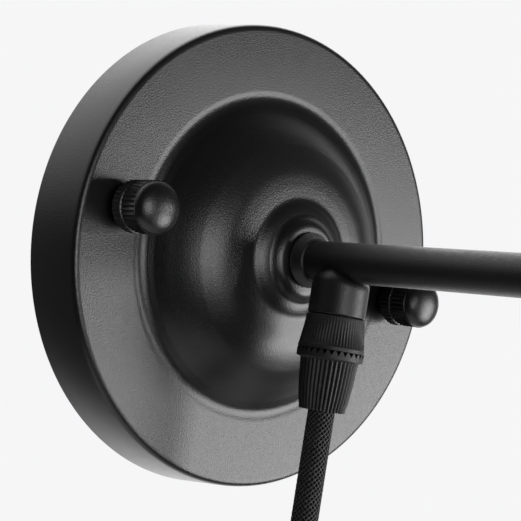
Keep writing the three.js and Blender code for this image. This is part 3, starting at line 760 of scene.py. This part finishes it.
def make_head():
    low, high = (corner.z / MM - ARM_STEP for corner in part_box("neck_tube"))
    neck = tube(ARM_RADIUS - TUBE_WALL, ARM_RADIUS, low, high)
    turned("neck_tube_painted", "neck_tube", neck, HEAD)
    cap = [(5.2, -29), (18.6, -37, 1), (20, -39, 1), (20, -60), (21.2, -60, 0.3),
           (21.2, -58.6, 0.2), (20.9, -58.4, 0.2), (20.9, -57.9, 0.2), (21.2, -57.7, 0.2),
           (21.2, -38.6, 1.6), (19.4, -35.8, 1.6), (7.8, -27.2, 1.5), (7.8, -23.4, 0.2),
           (7.4, -23.2, 0.2), (7.4, -22.8, 0.2), (7.8, -22.6, 0.2), (7.8, -21, 0.5), (5.2, -21)]
    turned("lampholder_cap_spun", "lampholder_cap", cap, HEAD, BROAD)
    body = [(0, -46), (14.2, -46, 0.6), (14.2, -75, 0.6), (16.8, -75, 0.8), (16.8, -72.2, 0.3),
            (16.3, -71.9, 0.2), (16.3, -71.2, 0.2), (16.8, -70.9, 0.3), (16.8, -59.5, 0.4),
            (19.6, -59.5, 0.6), (19.6, -40.5, 1), (17, -39.5, 1), (0, -39.5)]
    turned("lampholder_body_glazed", "lampholder_body", body, HEAD)
    shell = [(13.45, z) for z in steps(-49, -73, 0.3)] + [(13.85, z) for z in steps(-73, -49, 0.3)]

    def rolled(angle, radius, height):
        return radius - 0.12 + 0.12 * math.sin(angle - 2 * math.pi * height / EDISON_PITCH), height
    turned("screw_shell_rolled", "lampholder_screw_shell", shell, HEAD, ROUND, rolled)
    contact = [(0, -49.4), (1.6, -49.2, 0.4), (3.2, -47.6, 0.4), (3.2, -46.3), (0, -46.3)]
    turned("centre_contact_pressed", "centre_contact", contact, HEAD, SMALL)
    ring = [(17.1, -68), (19.6, -68, 0.4), (19.8, -67.2), (19.8, -62.6), (19.6, -62.1, 0.3),
            (17.1, -62.1)]

    def gripped(angle, radius, height):
        return radius - (0.5 * wave(angle, RING_RIBS) ** 1.5 if radius > 19.7 else 0), height
    turned("shade_ring_ribbed", "shade_ring", ring, HEAD, RING_RIBS * 8, gripped)
    make_shade()


# ---------- Wall bracket and fasteners ----------
SCREW_LINE = Matrix.Rotation(-math.atan2(
    centre("thumb_nut_right").z - centre("thumb_nut_left").z,
    centre("thumb_nut_right").x - centre("thumb_nut_left").x), 4, "Y")


def make_bracket():
    """A pressed steel strap with joggled, rounded ends, screwed to the wall at its middle."""
    half_width, thickness, end = 9, 2, 54
    back = spline([(-end, -4), (-48, -4), (-43, -4), (-40, -3.7), (-37.5, -2), (-35, -0.3),
                   (-32, 0), (-20, 0), (0, 0), (20, 0), (32, 0), (35, -0.3), (37.5, -2),
                   (40, -3.7), (43, -4), (48, -4), (end, -4)], 6)
    back = [(x, min(y, 0)) for x, y in back]
    vertices = []
    rings = []
    for x, y in back:
        past = max(0, abs(x) - (end - half_width))
        half = max(math.sqrt(max(half_width ** 2 - past ** 2, 0)), 0.4)
        bow = 0.35
        section = [(0, half - bow), (-0.1, half - 0.1), (-bow, half), (bow - thickness, half),
                   (0.1 - thickness, half - 0.1), (-thickness, half - bow)]
        section += [(depth, -z) for depth, z in reversed(section)]
        rings.append(list(range(len(vertices), len(vertices) + len(section))))
        vertices += [Vector((x, y + depth, z)) for depth, z in section]
    faces = stitch(rings, False) + [rings[0], rings[-1]]
    strap = new_object("wall_bracket_pressed", (vertices, faces), SCREW_LINE)
    stud = (centre("thumb_nut_right") - centre("thumb_nut_left")).length / 2
    holes = [(-stud, 2.2), (stud, 2.2), (-25, 2.4), (25, 2.4), (0, 6)]
    cut(strap, *(bar_tool(r, -8, 2, SCREW_LINE @ shift(x, 0, 0) @ ALONG_Y) for x, r in holes))
    finish_piece(strap, "wall_bracket")


def make_stud(side):
    place = centre("stud_screw_" + side)
    place = shift(place.x, 0, place.z) @ ALONG_Y
    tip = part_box("stud_screw_" + side)[0].y / MM
    shank = [(2, y) for y in steps(tip + 0.5, -4.5, 0.12)]
    outline = [(0, tip), (1.5, tip), *shank, (2, -3.7), (3.6, -3.7, 0.15), (3.6, -1.9, 0.15),
               (2.6, -1.3, 0.4), (0, -1.3)]
    turned("stud_screw_" + side + "_threaded", "stud_screw_" + side, outline, place, SMALL,
           thread(0.7, 0.3, tip, -4.6, 1.9))
    nut = [(2.2, -9.5), (3.5, -9.5), (4.04, -9.2), (4.04, -6.6), (3.5, -6.3), (2.2, -6.3)]
    turned("stud_nut_" + side + "_hex", "stud_nut_" + side, nut, place, ROUND, hexagon(7))


def make_arm_fixing():
    low, high = (corner.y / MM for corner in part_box("arm_nipple"))
    nipple = [(2.9, low), (3.6, low), *((3.95, y) for y in steps(low + 0.4, high - 0.4, 0.17)),
              (3.6, high), (2.9, high)]
    turned("arm_nipple_threaded", "arm_nipple", nipple, ALONG_Y, SMALL,
           thread(1.0, 0.35, low, high, 3.8))
    low, high = (corner.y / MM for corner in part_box("lock_washer"))
    washer = [(4.3, low), (7.5, low, 0.2), (7.5, high, 0.2), (4.3, high)]
    turned("lock_washer_disc", "lock_washer", washer, ALONG_Y)
    low, high = (corner.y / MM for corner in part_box("lock_nut"))
    nut = [(4.3, low), (6.5, low), (7.5, low + 0.55), (7.5, high - 0.55), (6.5, high), (4.3, high)]
    turned("lock_nut_hex", "lock_nut", nut, ALONG_Y, ROUND, hexagon(13))


# ---------- Cord tie, switch and plug ----------
def make_tie():
    """A woven strap round the coil's topmost turns."""
    half_y, half_z, corner, thickness, half_width = 6.9, 13.5, 3.2, 1.5, 5
    middle = shift(COIL_CENTRE.x, COIL_CENTRE.y, COIL_CENTRE.z + (COIL_OUTER + COIL_INNER) / 2)
    inner = rounded_rectangle(half_y, half_z, corner)
    outer = rounded_rectangle(half_y + thickness, half_z + thickness, corner + thickness)
    vertices = []
    rings = []
    for (y0, z0), (y1, z1) in zip(inner, outer):
        section = [(0, 0.5), (0, -0.5), (0.15, -0.56), (0.85, -0.56), (1, -0.5), (1, 0.5),
                   (0.85, 0.56), (0.15, 0.56)]
        rings.append(list(range(len(vertices), len(vertices) + len(section))))
        for t, across in section:
            x = max(-half_width, min(half_width, across * 2 * half_width))
            edge = 0.12 if abs(across) < 0.55 and t in (0, 1) else 0
            lean = t + (edge if t == 0 else -edge)
            vertices.append(Vector((x, y0 + (y1 - y0) * lean, z0 + (z1 - z0) * lean)))
    strap = new_object("cord_tie_strap", (vertices, stitch(rings, True)), middle)
    layer = strap.data.uv_layers.new(name="braid")
    for polygon in strap.data.polygons:
        for loop in polygon.loop_indices:
            spot = strap.data.vertices[strap.data.loops[loop].vertex_index].co / MM
            layer.data[loop].uv = (spot.x / 1.2, (spot.y + spot.z) / 1.2)
    return finish_piece(strap, "cord_tie")


SWITCH = shift(0, INLET_Y, (SWITCH_LOW + SWITCH_HIGH) / 2)
SLOT_REACH = 1.2  # of the driver slots, from the screw's axis
SLOT_HALF_WIDTH = 0.24
SLOT_DEPTH = 0.8


def switch_shell(label, place):
    """Half of the housing, bulging towards -Y before its place, hollow and with a cord way."""
    half_length = (SWITCH_HIGH - SWITCH_LOW) / 2
    layers = [(0.3, -0.15), (0, -0.4), (0, -6.2), (0.15, -7), (0.6, -7.9), (1.2, -8.5), (2, -8.9),
              (3, -9)]
    shell = new_object(label, slab(12, half_length, 8, layers), place)
    hollow = new_object("tool", slab(10.2, half_length - 11, 2, [(0, -7.2), (0, 1)]), place)
    way = bar_tool(CORD_RADIUS + 0.15, -half_length - 3, half_length + 3, place)
    ribs = []
    for end in (-1, 1):
        for k in range(3):
            z = end * (half_length - 3.2 - 2.2 * k)
            groove = slab(20, 0.45, 0.3, [(0, -12), (0, -8.6)])
            ribs.append(new_object("tool", groove, place @ shift(0, 0, z)))
    cut(shell, hollow, way, *ribs)
    return shell


def cross_slot(angle, radius, height):
    """The crossed driver slots in a screw's head."""
    off_slot = radius * min(abs(math.sin(angle)), abs(math.cos(angle)))
    in_slot = height > 8.5 and radius < SLOT_REACH and off_slot < SLOT_HALF_WIDTH
    return radius, height - (SLOT_DEPTH if in_slot else 0)


def make_switch():
    front = switch_shell("switch_front_moulding", SWITCH)
    window = new_object("tool", slab(4.75, 7.75, 0.8, [(0, -12), (0, -4)]), SWITCH)
    recess = new_object("tool", slab(6.2, 9.4, 2.2, [(0, -12), (0, -8.55)]), SWITCH)
    cut(front, window, recess)
    flipped = SWITCH @ Matrix.Rotation(math.pi, 4, "Z")
    back = switch_shell("switch_back_moulding", flipped)
    screws = [centre("switch_screw_" + end) - Vector((0, INLET_Y, 0)) for end in ("upper", "lower")]
    cut(back, *(bar_tool(1.75, 0, 12, shift(0, INLET_Y, 0) @ shift(s.x, 0, s.z) @ ALONG_Y)
                for s in screws))
    made = [finish_piece(front, "switch_front_shell"), finish_piece(back, "switch_back_shell")]
    for end, spot in zip(("upper", "lower"), screws):
        place = shift(spot.x, INLET_Y, spot.z) @ ALONG_Y
        outline = [(0, -1), (1.4, -1), (1.5, -0.6), (1.5, 8.3)]
        outline += [(radius, 8.6) for radius in (1.25, 1.1, 0.9, 0.7, 0.5, 0.35, 0.2, 0)]
        screw = lathe(outline, SMALL, cross_slot)
        made.append(finish_piece(new_object("switch_screw_" + end + "_turned", screw, place),
                                 "switch_screw_" + end))
    face = [(3, -6.9), (3, 6.9), (-2.4, 7.5), (-2.6, 7.2)]
    face += [(-2.6 + 1.0 * math.sin(math.pi / 2 * t), 7.2 * (1 - t)) for t in (0.25, 0.5, 0.75, 1)]
    face += [(-2.6 + 1.0 * math.cos(math.pi / 2 * t), -7.2 * t) for t in (0.25, 0.5, 0.75, 1)]
    face += [(-2.4, -7.5)]
    rocker = new_object("switch_rocker_moulded", extruded(face, 4.5),
                        SWITCH @ shift(0, -8, 0) @ Matrix.Rotation(math.radians(8), 4, "X"))
    made.append(finish_piece(bevelled(rocker, 0.3), "switch_rocker"))
    return made


def make_plug():
    tail_y = INLET_Y + 2 * CORD_RADIUS
    place = shift(0, tail_y, PLUG_TOP)
    squeezed = place @ Matrix.Diagonal((1, 0.72, 1, 1))
    neck = []
    for k in range(4):
        z = -0.8 - 1.9 * k
        radius = 4.75 + 0.12 * k
        neck += [(radius, z, 0.15), (radius, z - 1.2, 0.15), (radius - 0.7, z - 1.4),
                 (radius - 0.7, z - 1.8)]
    grip = spline([(5.4, -8.6), (7, -9.9), (9.2, -12.4), (11.1, -16), (12.1, -19.5),
                   (12.35, -23)], 6)
    held_part = [(12.38, z) for z in steps(-32.9, -24.1, 0.2)]
    body = [(0, -36), (11, -36, 0.6), (12.4, -34.4, 0.8), (12.4, -33), *held_part, (12.38, -24),
            *reversed(grip), *reversed(neck), (4.6, 0, 0.4), (0, 0)]

    def ribbed(angle, radius, height):
        held = radius > 9 and -31 < height < -13
        rib = 0.35 * (0.5 + 0.5 * math.cos(math.pi * height / 1.1))
        return radius - (rib if held else 0), height
    plug = new_object("plug_moulding", lathe(rounded(body), ROUND, ribbed), squeezed)
    blades = []
    for side in ("left", "right"):
        x = centre("plug_blade_" + side).x
        slot = new_object("tool", slab(0.95, 5, 0.1, [(0, -3.3), (0, 3.3)]),
                          place @ shift(x, 0, -36))
        cut(plug, slot)
        low, high = (corner.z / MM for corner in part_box("plug_blade_" + side))
        tip = [(-3.15, high), (3.15, high), (3.15, low + 2), (2.2, low), (-2.2, low),
               (-3.15, low + 2)]
        blade = new_object("plug_blade_" + side + "_punched", extruded(tip, 0.75),
                           shift(x, tail_y, 0))
        bevelled(blade, 0.2, 2)
        hole = bar_tool(1.6, -3, 3, shift(x, tail_y, low + 5)
                        @ Matrix.Rotation(math.pi / 2, 4, "Y"))
        cut(blade, hole)
        blades.append(finish_piece(blade, "plug_blade_" + side))
    return [finish_piece(plug, "plug_body"), *blades]


# ---------- Mains cord ----------
COIL_TURNS = 7
TURN_POINTS = 36
CARRIERS = 16  # braid strands round the cord in each direction
CROSSING = 0.65  # from one crossing to the next, along the cord
MODELLED_BRAID = 44  # as far as this below the grip the strands stand out in the mesh
BRAID_RELIEF = 0.25  # half the depth between strands there
TEXTURED_RELIEF = BRAID_RELIEF / 12  # and further on, where the material shows them
FINE_STEP = 0.27  # between the mesh's rings, to just past the modelled braid
COARSE_STEP = 1.3  # and further on
CORD_SIDES = 80


def coil_point(turns):
    """A point on the coil: three turns inwards in front, one to cross over, three outwards."""
    layer = CORD_RADIUS
    inward = (COIL_OUTER - COIL_INNER) / 3
    if turns < 3:
        radius, y = COIL_OUTER - inward * turns, -layer
    elif turns < 4:
        t = turns - 3
        radius, y = COIL_INNER, layer * (2 * t * t * (3 - 2 * t) - 1)
    else:
        radius, y = COIL_INNER + inward * (turns - 4), layer
    angle = 2 * math.pi * turns
    return COIL_CENTRE + Vector((-radius * math.cos(angle), y, -radius * math.sin(angle)))


def cord_route():
    front, back = INLET_Y, INLET_Y + 2 * CORD_RADIUS
    drop = GRIP_BOTTOM + 0.6, -60, -80, -100, -120, -142, -165, -185
    points = [Vector((0, front, z)) for z in drop]
    points += [coil_point(i / TURN_POINTS) for i in range(COIL_TURNS * TURN_POINTS + 1)]
    points += [Vector((0, back, z)) for z in (-225, -248, PLUG_TOP + 2, PLUG_TOP - 1)]
    return points


def resample(points, first_step, later_step, change):
    """Points a step apart along a route, with a finer step as far as the change length."""
    spaced = [points[0]]
    travelled = 0
    target = first_step
    for a, b in zip(points, points[1:]):
        length = (b - a).length
        while target <= travelled + length:
            spaced.append(a.lerp(b, (target - travelled) / length))
            target += first_step if target < change else later_step
        travelled += length
    return [*spaced, points[-1]]


def braided_tube(route):
    """A tube along the route with two crossing sets of strands, and its braid coordinates."""
    vertices = []
    lengths = []
    travelled = 0
    frame_x = Vector((1, 0, 0))
    for i, point in enumerate(route):
        along = (route[min(i + 1, len(route) - 1)] - route[max(i - 1, 0)]).normalized()
        frame_x = (frame_x - along * frame_x.dot(along)).normalized()
        frame_y = along.cross(frame_x)
        if i:
            travelled += (point - route[i - 1]).length
        lengths.append(travelled)
        depth = BRAID_RELIEF if travelled < MODELLED_BRAID else TEXTURED_RELIEF
        for k in range(CORD_SIDES):
            turn = k / CORD_SIDES
            s, t = CARRIERS * turn, travelled / (2 * CROSSING)
            strand = max(math.sin(2 * math.pi * (s + t)), math.sin(2 * math.pi * (s - t)))
            radius = CORD_RADIUS - depth * (1 - strand)
            angle = 2 * math.pi * turn
            outward = frame_x * math.cos(angle) + frame_y * math.sin(angle)
            vertices.append(point + radius * outward)
    rings = [list(range(k * CORD_SIDES, (k + 1) * CORD_SIDES)) for k in range(len(route))]
    vertices += [route[0], route[-1]]
    faces = stitch([[len(vertices) - 2], *rings, [len(vertices) - 1]], False)
    return vertices, faces, lengths


def make_cord(carried):
    """The whole cord. Its argument carried, the tie, switch and plug pieces, is not used."""
    route = resample(cord_route(), FINE_STEP, COARSE_STEP, MODELLED_BRAID + 2)
    vertices, faces, lengths = braided_tube(route)
    cord = new_object("mains_cord", (vertices, faces))
    layer = cord.data.uv_layers.new(name="braid")
    for polygon in cord.data.polygons:
        columns = [v % CORD_SIDES for v in polygon.vertices if v < CORD_SIDES * len(route)]
        wraps = max(columns) - min(columns) > 1
        for loop in polygon.loop_indices:
            vertex = cord.data.loops[loop].vertex_index
            ring = min(vertex // CORD_SIDES, len(route) - 1)
            column = vertex % CORD_SIDES
            if wraps and column == 0:
                column = CORD_SIDES
            layer.data[loop].uv = (CARRIERS * column / CORD_SIDES, lengths[ring] / (2 * CROSSING))
    finish_piece(cord, "cord_upper", "cord_lower", "cord_coil", "cord_tail")


# ---------- Carried-over nodes ----------
def dress_cad_nodes():
    for name, node in frame["nodes"].items():
        node.data.materials.clear()
        node.data.materials.append(MATERIALS[SLOT_OF[name]])


# ---------- Studio ----------
WALL_TONE = (0.92, 0.92, 0.93, 1)  # the flat background that only the camera sees
PANEL_DISTANCE = 1.7  # metres, from the lamp's root
PANELS = [  # name, azimuth, elevation, width, height, radiance
    ("right_panel", 46, -11, 1.0, 1.2, 8.7),
    ("left_panel", -14, -2, 0.85, 0.8, 5.5),
]
FLOOR_DROP = 2000  # below the lamp's lowest point
FLOOR_RADIUS = 2000


def map_range(tree, source, low, high, dark, light):
    node = add_node(tree, "MapRange")
    limits = ("From Min", low), ("From Max", high), ("To Min", dark), ("To Max", light)
    for name, value in limits:
        node.inputs[name].default_value = value
    tree.links.new(source, node.inputs["Value"])
    return node.outputs["Result"]


def combine(tree, operation, a, b):
    node = add_node(tree, "Math", operation=operation)
    tree.links.new(a, node.inputs[0])
    tree.links.new(b, node.inputs[1])
    return node.outputs["Value"]


def make_world():
    """A room that is dark in front of the wall, and behind it brighter to the right and above.

    The room lights the lamp and is reflected in it. The camera itself sees a flat pale wall.
    """
    world = bpy.data.worlds.new("room")
    bpy.context.scene.world = world
    world.use_nodes = True
    tree = world.node_tree
    split = add_node(tree, "SeparateXYZ")
    tree.links.new(add_node(tree, "TexCoord").outputs["Generated"], split.inputs["Vector"])
    to_right = map_range(tree, split.outputs["X"], -0.05, 0.55, 0.08, 1.6)
    to_top = map_range(tree, split.outputs["Z"], 0.05, 0.8, 0.0, 1.8)
    behind = map_range(tree, split.outputs["Y"], 0.02, 0.4, 0.02, 1.0)
    room = combine(tree, "MULTIPLY", combine(tree, "ADD", to_right, to_top), behind)
    sight = add_node(tree, "LightPath").outputs["Is Camera Ray"]
    mix = add_node(tree, "Mix", data_type="RGBA")
    tree.links.new(sight, mix.inputs[0])
    tree.links.new(room, mix.inputs[6])
    mix.inputs[7].default_value = WALL_TONE
    tree.links.new(mix.outputs[2], tree.nodes["Background"].inputs["Color"])


def add_panel(name, azimuth, elevation, width, height, radiance):
    """A soft box that faces the lamp's root, from a direction like the camera's."""
    data = bpy.data.lights.new(name, "AREA")
    data.shape = "RECTANGLE"
    data.size = width
    data.size_y = height
    data.energy = radiance * math.pi * width * height
    a, e = math.radians(azimuth), math.radians(elevation)
    back = Vector((math.sin(a) * math.cos(e), -math.cos(a) * math.cos(e), math.sin(e)))
    panel = bpy.data.objects.new(name, data)
    panel.location = back * PANEL_DISTANCE
    panel.rotation_mode = "QUATERNION"
    panel.rotation_quaternion = back.to_track_quat("Z", "Y")
    bpy.context.scene.collection.objects.link(panel)


def make_studio():
    make_world()
    for panel in PANELS:
        add_panel(*panel)
    below = cad_box[0].z / MM - FLOOR_DROP
    floor = new_object("floor", lathe([(0, below), (FLOOR_RADIUS, below)], BROAD))
    material, tree, shader = new_material("pale_floor")
    tree.links.new(ramp(tree, add_noise(tree, 3, 3), [(0.3, 0.78), (0.7, 0.84)]),
                   shader.inputs["Base Color"])
    shader.inputs["Roughness"].default_value = 0.8
    floor.data.materials.append(material)


# ---------- Assembly ----------
make_camera()
dress_cad_nodes()
make_canopy()
make_thumb_nut("left")
make_thumb_nut("right")
make_collar()
make_arm_tube("wall_arm_painted", "wall_arm_tube", Matrix.Identity(4))
make_inlet()
make_grip()
make_arm_tube("outer_arm_painted", "outer_arm_tube", shift(0, 0, ARM_STEP))
make_knuckle("elbow", ELBOW, 0)
make_knuckle("tilt", TILT, math.pi / 2)
make_inner_fastenings("elbow", ELBOW)
make_inner_fastenings("tilt", TILT)
make_head()
make_bracket()
make_stud("left")
make_stud("right")
make_arm_fixing()
make_cord([make_tie(), *make_switch(), *make_plug()])
make_studio()
bpy.context.scene.view_settings.view_transform = "Standard"
